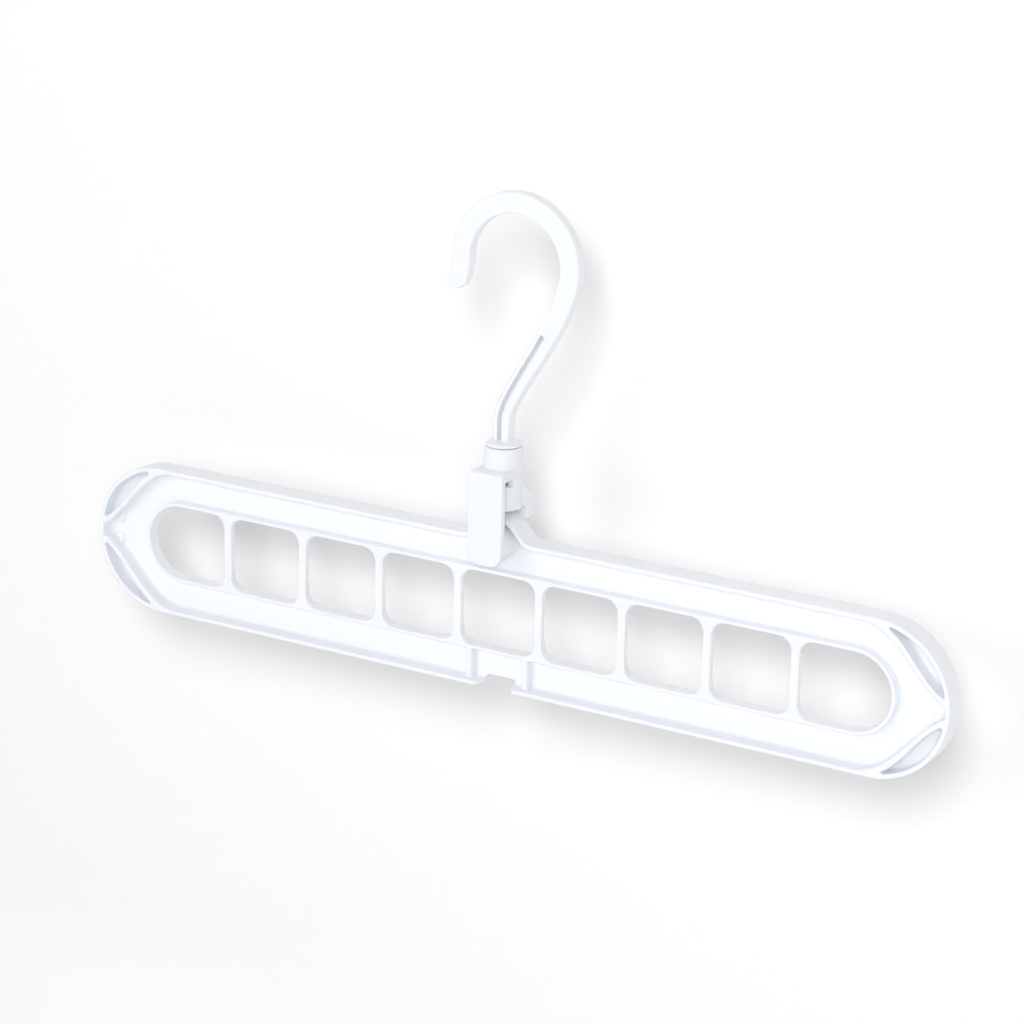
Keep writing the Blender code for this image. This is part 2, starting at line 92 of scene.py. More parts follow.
def rectangle(u, v, half_u, half_v, corner=0.0):
    """Distance to a rectangle with round corners about the origin: the length of what passes the
    two half sides shortened by the corner, or inside them the larger of the two, less the corner."""
    over_u = np.abs(u) - half_u + corner
    over_v = np.abs(v) - half_v + corner
    outside = np.hypot(np.maximum(over_u, 0.0), np.maximum(over_v, 0.0))
    return outside + np.minimum(np.maximum(over_u, over_v), 0.0) - corner


def capsule(u, v, half_length, radius):
    """Distance to a long shape with half-round ends, lying along u: the length of v and of what
    passes the straight part, less the radius."""
    return np.hypot(np.maximum(np.abs(u) - half_length + radius, 0.0), v) - radius


def polygon(u, v, corners):
    """Distance to a closed outline: the nearest edge, with the sign from crossings of a ray."""
    nearest = np.inf
    inside = np.zeros(np.broadcast(u, v).shape, bool)
    for (au, av), (bu, bv) in zip(corners, np.roll(corners, -1, axis=0)):
        eu, ev = bu - au, bv - av
        share = np.clip(((u - au) * eu + (v - av) * ev) / (eu * eu + ev * ev), 0.0, 1.0)
        nearest = np.minimum(nearest, (u - au - share * eu) ** 2 + (v - av - share * ev) ** 2)
        crosses = (av > v) != (bv > v)
        slope = eu / ev if ev else 0.0
        inside ^= crosses & (u < au + (v - av) * slope)
    return np.where(inside, -1.0, 1.0) * np.sqrt(nearest)


def between(value, low, high):
    """Distance to the slab between two levels: the larger of low less value and value less high."""
    return np.maximum(low - value, value - high)


def ease(start, end, share):
    """Smooth step from start to end: share squared times (3 less twice the share)."""
    share = np.clip(share, 0.0, 1.0)
    return start + (end - start) * share * share * (3 - 2 * share)


# %% [markdown]
# ## From a field to a skin
#
# The field is measured on a lattice of planes, close together where the plastic is detailed and
# further apart across plain walls. Every lattice box that the surface passes through gets one
# point, and four neighbouring points make a face. Then each point slides straight down the
# field's slope onto the surface, so flat walls come out flat, and the slope there is the
# shading normal. All of it is array work, with no loop over the points.

# %% Lattice
def planes(*stretches):
    """Sorted lattice positions from (start, end, step) stretches that follow on from each other."""
    parts = []
    for start, end, step in stretches:
        count = max(1, round((end - start) / step))
        parts.append(np.linspace(start, end, count, endpoint=False))
    return np.append(np.concatenate(parts), stretches[-1][1])


def slope(field, points, reach=2e-5):
    """Gradient of the field: its value a small reach ahead less a reach behind, over two reaches."""
    steps = np.eye(3) * reach
    rise = [field(*(points + s).T) - field(*(points - s).T) for s in steps]
    return np.stack(rise, axis=1) / (2 * reach)


def lattice_skin(field, axes):
    """Points and four-cornered faces where the field crosses zero on the lattice: an edge is cut in
    the ratio of the values at its ends, and a box's point is the mean of the cuts on its edges."""
    x, y, z = axes
    value = field(x[:, None, None], y[None, :, None], z[None, None, :])
    value = np.broadcast_to(value, (len(x), len(y), len(z)))
    boxes = np.array(value.shape) - 1
    total = int(np.prod(boxes))
    sums = np.zeros((3, total))
    hits = np.zeros(total)
    faces = []
    for axis in range(3):
        low = np.take(value, range(boxes[axis]), axis=axis)
        high = np.take(value, range(1, boxes[axis] + 1), axis=axis)
        where = np.argwhere((low < 0) != (high < 0))
        before = low[tuple(where.T)]
        share = before / (before - high[tuple(where.T)])
        place = [ticks[where[:, i]] for i, ticks in enumerate(axes)]
        step = np.diff(axes[axis])[where[:, axis]]
        place[axis] = place[axis] + share * step
        one, two = [i for i in range(3) if i != axis]
        ring = []
        for back_one, back_two in ((1, 1), (0, 1), (0, 0), (1, 0)):
            cell = where.copy()
            cell[:, one] -= back_one
            cell[:, two] -= back_two
            index = np.ravel_multi_index(cell.T, boxes)
            hits += np.bincount(index, minlength=total)
            for i in range(3):
                sums[i] += np.bincount(index, weights=place[i], minlength=total)
            ring.append(index)
        quads = np.stack(ring, axis=1)
        flip = (before > 0) != (axis == 1)
        quads[flip] = quads[flip][:, ::-1]
        faces.append(quads)
    used = np.flatnonzero(hits)
    number = np.full(total, -1)
    number[used] = np.arange(len(used))
    points = (sums[:, used] / hits[used]).T
    return points, number[np.concatenate(faces)]


# %% Skin over a field
SLIDES = 4
FLATTEST = 0.05
SHORTEST = 1e-12


def skin(name, field, axes, longest_slide):
    """Object whose faces lie on the field's zero level, shaded by the field's own slope: each slide
    moves a point by the field's value times its slope, over the slope squared."""
    points, faces = lattice_skin(field, axes)
    for _ in range(SLIDES):
        rise = slope(field, points)
        steep = np.maximum((rise ** 2).sum(axis=1, keepdims=True), FLATTEST)
        slide = field(*points.T)[:, None] * rise / steep
        length = np.linalg.norm(slide, axis=1, keepdims=True)
        points -= slide * np.minimum(1.0, longest_slide / np.maximum(length, SHORTEST))
    normals = slope(field, points)
    normals /= np.linalg.norm(normals, axis=1, keepdims=True)
    mesh = bpy.data.meshes.new(name)
    mesh.from_pydata(points.tolist(), [], faces.tolist())
    mesh.polygons.foreach_set("use_smooth", np.ones(len(faces), bool))
    mesh.normals_split_custom_set_from_vertices(normals)
    piece = bpy.data.objects.new(name, mesh)
    bpy.context.scene.collection.objects.link(piece)
    print(name, "has", 2 * len(faces), "triangles; furthest point off the surface in mm:",
          round(1000 * float(np.abs(field(*points.T)).max()), 4))
    return piece


# %% Curves and arcs
def curve_points(corners, steps):
    """Points of a cubic curve: its four corners weighed by (1-t)^3, 3t(1-t)^2, 3t^2(1-t), t^3."""
    t = np.linspace(0.0, 1.0, steps + 1)[:, None]
    p, q, r, s = np.array(corners, float)
    return (1 - t) ** 3 * p + 3 * t * (1 - t) ** 2 * q + 3 * t * t * (1 - t) * r + t ** 3 * s


def arc_points(centre, radius, start, end, steps):
    """Points of an arc: centre plus radius times (cos, sin) of evenly spaced angles."""
    turn = np.linspace(start, end, steps + 1)
    return np.stack([centre[0] + radius * np.cos(turn), centre[1] + radius * np.sin(turn)], axis=1)


# %% [markdown]
# ## Sizes that the mouldings share
#
# The heights come from the frame: the pivot is the origin of the bar's joint, and the bar's box
# gives its length, its depth and the level of its bottom. Wall thicknesses and the small radii of
# the mould are written here once, in metres.

# %% Shared sizes
joints = {joint["name"]: joint for joint in frame["record"]["behaviour"]["joints"]}
PIVOT_Z = joints["bar_tilt"]["pos_m"][2]
bar_low, bar_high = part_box("bar")
BAR_LENGTH = bar_high[0] - bar_low[0]
BAR_FRONT, BAR_BACK = bar_low[1], bar_high[1]
BAR_BOTTOM = bar_low[2]
GAP = 0.0003
EDGE = 0.00045
SOFT_EDGE = 0.0003
CRISP_EDGE = SOFT_EDGE / 3
HOUSING_RADIUS = 0.0102
HUB_RADIUS = 0.0070
NOSE_RADIUS = 0.0029
print("pivot height", PIVOT_Z, "bar length", round(BAR_LENGTH, 4))

# %% [markdown]
# ## The bar
#
# The bar is a shallow tray: a flange runs all the way round, a thin web closes it part way back,
# and a raised rim frames the row of windows. Curved ridges stiffen the ends, and at the top
# middle the flange swells into the round housing of the pivot. As a field it is one long capsule
# joined to a circle and hollowed from both faces. The ridges are what is left standing between the
# tray and the pockets at its ends, the rim, pads and ribs are joined on, and the windows, the notch
# and the hole for the yoke's nose are cut out.

# %% Bar sizes
BAR_HEIGHT = 0.0592
WALL = 0.0018
CHANNEL_DEPTH = 0.0063
WEB = 0.0016
RIM_SETBACK = 0.0024
RIM_WIDTH = 0.0015
WINDOW_COUNT = 9
WINDOW_HEIGHT = 0.0296
END_WINDOW_LENGTH = 0.0358
DIVIDER_WIDTH = 0.0033
DIVIDER_DEPTH = 0.0026
DIVIDER_SWELL = 0.0010
DIVIDER_FOOT = 0.0008
DIVIDER_FILLET = 0.0022
WINDOW_CORNER = 0.0052
END_MARGIN = 0.0230
HOUSING_FILLET = 0.0050
TRAY_FILLET = 0.0013
END_FILLET = 0.0018
RIM_FILLET = 0.0005
RIDGE_FILLET = 0.0005
RIDGE_SOFTNESS = 0.0003

END_RADIUS = BAR_HEIGHT / 2
BAR_MIDDLE_Z = BAR_BOTTOM + END_RADIUS
END_CENTRE_X = BAR_LENGTH / 2 - END_RADIUS
END_WINDOW_EDGE = BAR_LENGTH / 2 - END_MARGIN - END_WINDOW_LENGTH
WINDOW_PITCH = (2 * END_WINDOW_EDGE - DIVIDER_WIDTH) / (WINDOW_COUNT - 2)
END_BLEND = END_RADIUS / 2
WEB_FRONT = BAR_FRONT + CHANNEL_DEPTH
WEB_BACK = WEB_FRONT + WEB
RIM_FRONT = BAR_FRONT + RIM_SETBACK
print("web from", round(WEB_FRONT, 5), "to", round(WEB_BACK, 5))

# %% Ridge and pad outlines
OUTER_RIDGE = ((0.179, 0.895), (0.420, 0.760), (0.600, 0.370), (0.885, 0.190))
INNER_RIDGE = ((-0.101, 0.926), (0.240, 0.880), (0.480, 0.420), (0.872, 0.100))
POCKET_CROWN = 0.195
POCKET_ROOT = 0.210
PAD_MARGIN = 0.0081
PAD_RISE = 0.0013
SLOT_HEIGHT = 0.0050
FAR = 1.3


def end_place(shares):
    """Shares of the end radius, measured from the end's centre, turned into metres."""
    return np.array(shares) * END_RADIUS + (END_CENTRE_X, 0.0)


inner_curve = end_place(curve_points(INNER_RIDGE, steps=14))
outer_curve = end_place(curve_points(OUTER_RIDGE, steps=12))
past_inner = np.concatenate([
    inner_curve, end_place([(FAR, 0.0), (FAR, FAR), (INNER_RIDGE[0][0], FAR)])])
past_outer = np.concatenate([
    outer_curve, end_place([(FAR, POCKET_ROOT), (FAR, FAR), (POCKET_CROWN, FAR)])])
pad_start = BAR_LENGTH / 2 - PAD_MARGIN
pad_top = np.interp(pad_start, inner_curve[:, 0], inner_curve[:, 1])
under_ridge = inner_curve[inner_curve[:, 0] > pad_start]
pad_outline = np.concatenate([
    [(pad_start, SLOT_HEIGHT / 2), (pad_start, pad_top + WALL / 2)],
    under_ridge + (0.0, WALL / 2),
    [(BAR_LENGTH / 2 - WALL / 2, SLOT_HEIGHT / 2)],
])
print("ridge curves have", len(inner_curve), "and", len(outer_curve), "points")
print("pads start at", round(pad_start, 4))

# %% Notch sizes
NOTCH_WIDTH = 0.0196
NOTCH_WAIST = 0.0124
NOTCH_DEPTH = 0.0031
NOTCH_CORNER = 0.0009
NOTCH_RIB_SPACING = 0.0242
NOTCH_RIB_THICKNESS = 0.0026


# %% Windows and bar as fields
def window_field(x, w):
    """Distance to the nine windows: round-cornered rectangles, the end ones half-round outside."""
    half = (WINDOW_PITCH - DIVIDER_WIDTH) / 2
    last = (WINDOW_COUNT - 1) / 2
    middle = np.clip(np.round(x / WINDOW_PITCH), 1 - last, last - 1) * WINDOW_PITCH
    row = rectangle(x - middle, w, half, WINDOW_HEIGHT / 2, WINDOW_CORNER)
    end_round = BAR_LENGTH / 2 - END_MARGIN - WINDOW_HEIGHT / 2
    inner_edge = last * WINDOW_PITCH - half
    u = np.abs(x)
    half_straight = (end_round + WINDOW_CORNER - inner_edge) / 2
    straight = rectangle(u - (inner_edge + end_round + WINDOW_CORNER) / 2, w,
                         half_straight, WINDOW_HEIGHT / 2, WINDOW_CORNER)
    straight = np.maximum(straight, u - end_round)
    half_round = np.maximum(circle(u - end_round, w, WINDOW_HEIGHT / 2), end_round - u)
    return np.minimum(row, np.minimum(straight, half_round))


def bar_field(x, y, z):
    """Distance to the bar: the outline's slab less the tray, the pockets and the rear hollow,
    joined with rim, ribs and pads, less the windows, the dividers' backs, the notch and the hole."""
    w = z - BAR_MIDDLE_Z
    u, v = np.abs(x), np.abs(w)
    outline = rounded_join(capsule(x, w, BAR_LENGTH / 2, END_RADIUS),
                           circle(x, z - PIVOT_Z, HOUSING_RADIUS), HOUSING_FILLET)
    bar = rounded_overlap(outline, between(y, BAR_FRONT, BAR_BACK), EDGE)
    at_end = ease(0.0, 1.0, (u - END_CENTRE_X) / END_BLEND + 0.5)
    tray = rounded_cut(outline + WALL, polygon(u, v, past_inner), RIDGE_FILLET)
    tray = rounded_overlap(tray, y - WEB_FRONT, TRAY_FILLET + (END_FILLET - TRAY_FILLET) * at_end)
    pocket = rounded_overlap(outline + WALL, polygon(u, v, past_outer), RIDGE_FILLET)
    pocket = rounded_overlap(pocket, y - WEB_FRONT, TRAY_FILLET)
    rear_hollow = rounded_overlap(outline + WALL, WEB_BACK - y, EDGE)
    bar = rounded_cut(bar, tray, EDGE + RIDGE_SOFTNESS * at_end)
    bar = rounded_cut(rounded_cut(bar, pocket, EDGE), rear_hollow, EDGE)

    rim = capsule(x, w, BAR_LENGTH / 2 - END_MARGIN + RIM_WIDTH, WINDOW_HEIGHT / 2 + RIM_WIDTH)
    rib_top = -WINDOW_HEIGHT / 2 - RIM_WIDTH / 2
    rib_middle = (rib_top - END_RADIUS) / 2
    rib = rectangle(u - NOTCH_RIB_SPACING / 2, w - rib_middle, NOTCH_RIB_THICKNESS / 2,
                    rib_top - rib_middle - WALL / 3)
    raised = rounded_join(rim, rib, RIDGE_FILLET)
    raised = rounded_overlap(raised, between(y, RIM_FRONT, WEB_BACK - EDGE), EDGE)
    bar = rounded_join(bar, raised, RIM_FILLET)
    pad_depth = between(y, WEB_FRONT - PAD_RISE, WEB_BACK - EDGE)
    pad = rounded_overlap(polygon(u, v, pad_outline), pad_depth, EDGE)
    bar = rounded_join(bar, pad, SOFT_EDGE)

    bar = rounded_cut(bar, window_field(x, w), SOFT_EDGE)
    divider = np.clip(np.floor(x / WINDOW_PITCH), -WINDOW_COUNT // 2 + 1, WINDOW_COUNT // 2 - 1) + 0.5
    divider_back = RIM_FRONT + DIVIDER_DEPTH + ease(0.0, DIVIDER_SWELL, -w / (WINDOW_HEIGHT / 2))
    half_relief = WINDOW_HEIGHT / 2 - DIVIDER_FOOT
    relief = rounded_overlap(between(w, -half_relief, half_relief), divider_back - y, DIVIDER_FILLET)
    relief = rounded_overlap(relief, np.abs(x - divider * WINDOW_PITCH) - DIVIDER_WIDTH, SOFT_EDGE)
    bar = rounded_cut(bar, relief, SOFT_EDGE)

    depth_share = np.clip(y / BAR_BACK, -1.0, 1.0)
    half_gap = NOTCH_WIDTH / 2 - (NOTCH_WIDTH - NOTCH_WAIST) / 2 * np.sqrt(1.0 - depth_share ** 2)
    flange_gap = rounded_overlap(u - half_gap, z - BAR_BOTTOM - WALL, SOFT_EDGE)
    notch = rectangle(x, z - BAR_BOTTOM, NOTCH_WAIST / 2, NOTCH_DEPTH, NOTCH_CORNER)
    bar = rounded_cut(rounded_cut(bar, flange_gap, SOFT_EDGE), notch, SOFT_EDGE)
    nose_hole = circle(x, z - PIVOT_Z, NOSE_RADIUS + GAP)
    return rounded_cut(bar, nose_hole, SOFT_EDGE)


# %% Bar skin
FINE = 0.00058
COARSE = 0.0012
REACH_ALONG = 0.0045
REACH_UP = 0.0042
REACH_DEEP = 0.0008
TIP_SHARES = (-0.1, 0.15, 0.4, 0.65, 0.9)
HOUSING_STEP = 0.006
HOUSING_DROPS = (0.014, 0.008, 0.003)


def close_to(places, reach, low, high):
    """Stretches from low to high: fine within reach of every place and coarse in between."""
    stretches = []
    at = low
    for place in sorted(places):
        start, end = max(place - reach, at), min(place + reach, high)
        if start > at + FINE:
            stretches.append((at, start, COARSE))
            at = start
        if end > at + FINE:
            stretches.append((at, end, FINE))
            at = end
    if high > at + FINE / 2:
        stretches.append((at, high, COARSE))
    return planes(*stretches)


margin = 3 * FINE
divider_places = [(i - WINDOW_COUNT / 2) * WINDOW_PITCH for i in range(1, WINDOW_COUNT)]
tip_places = [side * (END_CENTRE_X + share * END_RADIUS) for side in (-1, 1) for share in TIP_SHARES]
housing_places = [step * HOUSING_STEP for step in range(-2, 3)]
bar_x = close_to(divider_places + tip_places + housing_places, REACH_ALONG,
                 -BAR_LENGTH / 2 - margin, BAR_LENGTH / 2 + margin)
rim_places = [side * (WINDOW_HEIGHT / 2) for side in (-1, 1)]
flange_places = [side * (END_RADIUS - WALL / 2) for side in (-1, 1)]
bar_top = PIVOT_Z - BAR_MIDDLE_Z + HOUSING_RADIUS
housing_levels = [bar_top - drop for drop in HOUSING_DROPS]
bar_w = close_to(rim_places + flange_places + [0.0] + housing_levels, REACH_UP,
                 -END_RADIUS - margin, bar_top + margin)
bar_y = close_to([BAR_FRONT, RIM_FRONT, WEB_FRONT, WEB_BACK, BAR_BACK], REACH_DEEP,
                 BAR_FRONT - margin, BAR_BACK + margin)
print("bar lattice:", len(bar_x), len(bar_y), len(bar_w))
bar_skin = skin("bar_skin", bar_field, (bar_x, bar_y, bar_w + BAR_MIDDLE_Z), FINE)

# %% [markdown]
# ## The yoke
#
# The yoke carries the bar. A tapered barrel on top holds the hook's shaft, a square shoulder
# spreads it to a long front plate, and the plate's hub reaches back into the bar's housing. A
# short block behind the housing keeps the bar from tipping off. A stack of boxes and cylinders
# would have the right sizes and meet in hard corners. So barrel, hub and nose are round fields,
# plate and block are outlines pushed through a depth, and they join with the small radius that
# the mould has.

# %% Yoke sizes
YOKE_HALF_WIDTH = 0.00715
PLATE_THICKNESS = 0.0030
PLATE_STAND_OFF = 0.0050
PLATE_CORNER = 0.0055
SHOULDER_ABOVE_PIVOT = 0.0283
SHOULDER_THICKNESS = 0.0031
SHOULDER_OVERLAP = 0.0012
REAR_LEDGE_THICKNESS = 0.0012
BARREL_HEIGHT = 0.0077
BARREL_RADIUS = 0.0076
BARREL_TOP_RADIUS = 0.0069
NECK_RADIUS = 0.0073
NECK_GAP = 0.0024
CHAMBER_HEIGHT = 0.0033
CHAMBER_RADIUS = 0.0052
CHAMBER_MOUTH_SETBACK = 0.0036
ARM_GAP = 0.0006
ARM_THICKNESS = 0.0058
ARM_HEIGHT = 0.0102
ARM_ABOVE_PIVOT = 0.0076
ARM_FILLET = 0.0050
ARM_TOP_LAND = 0.0034
NOSE_HEAD_RADIUS = 0.0042
NOSE_HEAD_LENGTH = 0.0013
SHAFT_RADIUS = 0.0040

SHOULDER_Z = PIVOT_Z + SHOULDER_ABOVE_PIVOT
BARREL_TOP_Z = SHOULDER_Z + BARREL_HEIGHT
CHAMBER_TOP_Z = SHOULDER_Z - SHOULDER_THICKNESS
CHAMBER_FLOOR_Z = CHAMBER_TOP_Z - CHAMBER_HEIGHT
NECK_BOTTOM_Z = PIVOT_Z + HOUSING_RADIUS + NECK_GAP
PLATE_BACK = BAR_FRONT - PLATE_STAND_OFF
PLATE_FRONT = PLATE_BACK - PLATE_THICKNESS

arm_front = BAR_BACK + ARM_GAP
arm_back = arm_front + ARM_THICKNESS
arm_low = PIVOT_Z + ARM_ABOVE_PIVOT
arm_high = arm_low + ARM_HEIGHT
fillet_y = arm_back - ARM_TOP_LAND
arm_outline = np.concatenate([
    [(arm_front, arm_low), (arm_back, arm_low), (arm_back, arm_high)],
    arc_points((fillet_y, arm_high + ARM_FILLET), ARM_FILLET, -math.pi / 2, -math.pi, steps=12),
    [(fillet_y - ARM_FILLET, NECK_BOTTOM_Z + WALL), (arm_front - WALL, NECK_BOTTOM_Z + WALL),
     (arm_front - WALL, NECK_BOTTOM_Z), (arm_front, NECK_BOTTOM_Z)],
])
print("barrel top", round(BARREL_TOP_Z, 5), "neck bottom", round(NECK_BOTTOM_Z, 5))


# %% Yoke field and skin
def yoke_field(x, y, z):
    """Distance to the yoke: barrel, neck, shoulder, plate, hub, nose, snap head and rear block
    joined, less the bore, the chamber and its mouth."""
    around = np.hypot(x, y)
    lean = (BARREL_RADIUS - BARREL_TOP_RADIUS) / BARREL_HEIGHT
    barrel = (around - BARREL_RADIUS + lean * (z - SHOULDER_Z)) / math.hypot(1.0, lean)
    barrel = rounded_overlap(barrel, between(z, CHAMBER_TOP_Z, BARREL_TOP_Z), EDGE)
    neck = rounded_overlap(around - NECK_RADIUS, between(z, NECK_BOTTOM_Z, SHOULDER_Z), SOFT_EDGE)
    yoke = np.minimum(barrel, neck)

    across = np.abs(x) - YOKE_HALF_WIDTH
    block = rounded_overlap(polygon(y, z, arm_outline), across, EDGE)
    yoke = rounded_join(yoke, block, SOFT_EDGE)
    low_end = rectangle(x, z - PIVOT_Z, YOKE_HALF_WIDTH, YOKE_HALF_WIDTH, PLATE_CORNER)
    plate = np.where(z < PIVOT_Z, low_end, across)
    elbow = rounded_join(y - PLATE_BACK, CHAMBER_TOP_Z - z, EDGE)
    elbow = rounded_overlap(elbow, y - SHOULDER_OVERLAP, SOFT_EDGE)
    elbow = rounded_overlap(elbow, rounded_overlap(PLATE_FRONT - y, z - SHOULDER_Z, 2 * EDGE), EDGE)
    plate = rounded_overlap(plate, elbow, EDGE)
    ledge = rounded_overlap(between(z, SHOULDER_Z - REAR_LEDGE_THICKNESS, SHOULDER_Z),
                            between(y, -SHOULDER_OVERLAP, BAR_BACK), SOFT_EDGE)
    ledge = rounded_overlap(ledge, across, SOFT_EDGE)
    yoke = rounded_join(np.minimum(ledge, plate), yoke, SOFT_EDGE)

    off_pivot = np.hypot(x, z - PIVOT_Z)
    hub_back = WEB_FRONT - GAP
    hub = rounded_overlap(off_pivot - HUB_RADIUS, between(y, PLATE_FRONT + WALL, hub_back), SOFT_EDGE)
    head_front = WEB_BACK + GAP
    nose = np.maximum(off_pivot - NOSE_RADIUS, between(y, hub_back - WALL, head_front + GAP))
    head = rounded_overlap(off_pivot - NOSE_HEAD_RADIUS,
                           between(y, head_front, head_front + NOSE_HEAD_LENGTH), SOFT_EDGE)
    yoke = rounded_join(yoke, hub, SOFT_EDGE)
    yoke = np.minimum(np.minimum(yoke, nose), head)

    bore = around - SHAFT_RADIUS - GAP
    bore = np.maximum(bore, CHAMBER_TOP_Z - WALL - z)
    chamber_height = between(z, CHAMBER_FLOOR_Z, CHAMBER_TOP_Z)
    chamber = rounded_overlap(around - CHAMBER_RADIUS, chamber_height, SOFT_EDGE)
    mouth = rounded_overlap(between(y, PLATE_BACK, -CHAMBER_MOUTH_SETBACK), chamber_height, SOFT_EDGE)
    yoke = rounded_cut(yoke, bore, SOFT_EDGE)
    yoke = rounded_cut(yoke, chamber, CRISP_EDGE)
    return rounded_cut(yoke, mouth, CRISP_EDGE)


SMALL_STEP = 0.00038
margin = 3 * SMALL_STEP
reach = max(YOKE_HALF_WIDTH, BARREL_RADIUS) + margin
yoke_skin = skin("yoke_skin", yoke_field, (
    planes((-reach, reach, SMALL_STEP)),
    planes((PLATE_FRONT - margin, arm_back + margin, SMALL_STEP)),
    planes((PIVOT_Z - YOKE_HALF_WIDTH - margin, BARREL_TOP_Z + margin, SMALL_STEP)),
), SMALL_STEP)

# %% [markdown]
# ## The hook
#
# The hook is a flat band cut from one outline: a round crown for the rod, a blunt skewed tip, and
# a sweeping stem that comes down onto the swivel axis. A bevelled curve would make it quickly,
# but would round off its flat faces. So its centre line is an arc and a cubic curve, the band's
# width changes gently along it, and the outline is pushed through the thickness. A groove down
# the front of the stem saves plastic, and a collar, a shaft and a snap head end it.

# %% Hook sizes
HOOK_THICKNESS = 0.0054
TIP_BAND = 0.0072
CROWN_BAND = 0.0078
STEM_BAND = 0.0066
HOOK_RADIUS = 0.0224
HOOK_OFFSET = 0.0044
HOOK_EDGE = 0.0009
TIP_DROP = 0.0081
TIP_FLARE = 0.0015
TIP_REACH_OUTSIDE = 0.0080
TIP_REACH_INSIDE = 0.0042
CROWN_END = math.radians(12.0)
SWEEP_REACH = 0.0200
STEM_REACH = 0.0100
STEM_STRAIGHT = 0.0073
GROOVE_DEPTH = 0.0034
GROOVE_RIB = 0.0018
GROOVE_WIDTH = 0.0017
GROOVE_BELOW_ROD = 0.0415
COLLAR_RADIUS = 0.0068
COLLAR_HEIGHT = 0.0021
COLLAR_EDGE = 0.0006
COLLAR_DOME = 0.0011
SNAP_HEAD_RADIUS = 0.0047
SNAP_HEAD_HEIGHT = 0.0024

COLLAR_BOTTOM_Z = BARREL_TOP_Z + GAP
COLLAR_TOP_Z = COLLAR_BOTTOM_Z + COLLAR_HEIGHT
HOOK_CENTRE_Z = -math.sqrt((HOOK_RADIUS - CROWN_BAND / 2) ** 2 - HOOK_OFFSET ** 2)
print("hook centre", round(HOOK_CENTRE_Z, 5), "collar top", round(COLLAR_TOP_Z, 5))


# %% Hook outline
tip_share = np.linspace(0.0, 1.0, 6)[:-1]
arm_x = HOOK_OFFSET - HOOK_RADIUS
tip_line = np.stack([arm_x - TIP_FLARE * (1 - tip_share) ** 2,
                     HOOK_CENTRE_Z - TIP_DROP * (1 - tip_share)], axis=1)
crown_line = arc_points((HOOK_OFFSET, HOOK_CENTRE_Z), HOOK_RADIUS, math.pi, -CROWN_END, steps=48)
start = crown_line[-1]
stem_top = COLLAR_TOP_Z + STEM_STRAIGHT
stem_line = curve_points((
    start,
    (start[0] - SWEEP_REACH * math.sin(CROWN_END), start[1] - SWEEP_REACH * math.cos(CROWN_END)),
    (0.0, stem_top + STEM_REACH),
    (0.0, stem_top),
), steps=30)[1:]
foot = [(0.0, COLLAR_TOP_Z - COLLAR_HEIGHT / 2)]
hook_line = np.concatenate([tip_line, crown_line, stem_line, foot])
band = np.concatenate([
    np.full(len(tip_line), TIP_BAND),
    ease(TIP_BAND, CROWN_BAND, 2 * np.linspace(0.0, 1.0, len(crown_line))),
    ease(CROWN_BAND, STEM_BAND, np.linspace(0.0, 1.0, len(stem_line))),
    [STEM_BAND],
])


def band_sides(line, widths):
    """The two long sides of a band: each point moved half a width along the line's normal."""
    along = np.gradient(line, axis=0)
    along /= np.linalg.norm(along, axis=1, keepdims=True)
    sideways = np.stack([-along[:, 1], along[:, 0]], axis=1) * widths[:, None] / 2
    return line + sideways, line - sideways


outside, inside = band_sides(hook_line, band)
tip_way = (hook_line[0] - hook_line[1]) / np.linalg.norm(hook_line[0] - hook_line[1])
tip_curve = curve_points((outside[0], outside[0] + tip_way * TIP_REACH_OUTSIDE,
                          inside[0] + tip_way * TIP_REACH_INSIDE, inside[0]), steps=16)
hook_outline = np.concatenate([outside[::-1], tip_curve[1:-1], inside])

is_stem = np.arange(len(hook_line)) > len(hook_line) / 2
in_groove = is_stem & (hook_line[:, 1] < -GROOVE_BELOW_ROD)
groove_line = hook_line[in_groove]
groove_band = band[in_groove] - 2 * GROOVE_RIB
groove_left = band_sides(groove_line, groove_band)[1]
groove_right = band_sides(groove_line, groove_band - 2 * GROOVE_WIDTH)[1]
groove_outline = np.concatenate([groove_left, groove_right[::-1]])
print("hook outline", len(hook_outline), "points, groove", len(groove_outline))


# %% Hook field and skin
def hook_field(x, y, z):
    """Distance to the hook: flat band less the stem's groove, with collar, shaft and snap head."""
    band_field = polygon(x, z, hook_outline)
    hook = rounded_overlap(band_field, np.abs(y) - HOOK_THICKNESS / 2, HOOK_EDGE)
    groove = polygon(x, z, groove_outline)
    groove_floor = GROOVE_DEPTH - HOOK_THICKNESS / 2
    groove = rounded_overlap(groove, y - groove_floor, EDGE)
    hook = rounded_cut(hook, groove, SOFT_EDGE)

    around = np.hypot(x, y)
    dome = COLLAR_TOP_Z - COLLAR_DOME * (around / COLLAR_RADIUS) ** 2
    collar = rounded_overlap(around - COLLAR_RADIUS, z - dome, COLLAR_EDGE)
    collar = rounded_overlap(collar, COLLAR_BOTTOM_Z - z, SOFT_EDGE)
    hook = rounded_join(hook, collar, EDGE)
    head_top = CHAMBER_TOP_Z - GAP
    head_bottom = head_top - SNAP_HEAD_HEIGHT
    shaft = np.maximum(around - SHAFT_RADIUS, between(z, head_bottom, COLLAR_TOP_Z - COLLAR_HEIGHT / 2))
    head = rounded_overlap(around - SNAP_HEAD_RADIUS, between(z, head_bottom, head_top), SOFT_EDGE)
    return np.minimum(np.minimum(hook, shaft), head)


hook_low, hook_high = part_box("hook")
hook_skin = skin("hook_skin", hook_field, (
    planes((hook_low[0] - margin, hook_high[0] + margin, SMALL_STEP)),
    planes((-COLLAR_RADIUS - margin, COLLAR_RADIUS + margin, SMALL_STEP)),
    planes((hook_low[2] - margin, hook_high[2] + margin, SMALL_STEP)),
), SMALL_STEP)

